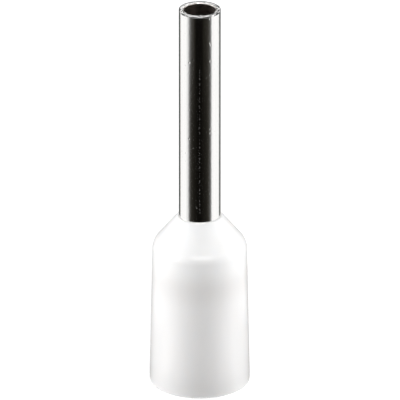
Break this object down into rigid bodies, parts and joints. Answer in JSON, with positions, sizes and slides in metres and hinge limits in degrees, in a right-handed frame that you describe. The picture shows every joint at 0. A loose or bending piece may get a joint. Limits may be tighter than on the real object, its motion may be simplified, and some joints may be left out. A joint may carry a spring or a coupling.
{
  "type": "wire ferrule",
  "caption": "Insulated wire ferrule: a bright tinned copper sleeve that crimps on a stranded wire's end, in a white collar that takes the wire's insulation.",
  "frame": {"origin": "centre of the collar's rim, on the plane that the rim stands on", "axes": "+Z along the axis, from the wire's entry to the sleeve's tip; X and Y are free, because the part is round"},
  "size_m": [0.0036, 0.0036, 0.0144],
  "materials": {
    "tinned_copper": "bright drawn copper tube with a thin tin plating",
    "white_polypropylene": "smooth moulded, semi-gloss, slightly translucent"
  },
  "bodies": {
    "root": {"contact_sleeve": "tinned_copper", "insulating_collar": "white_polypropylene"}
  },
  "joints": []
}
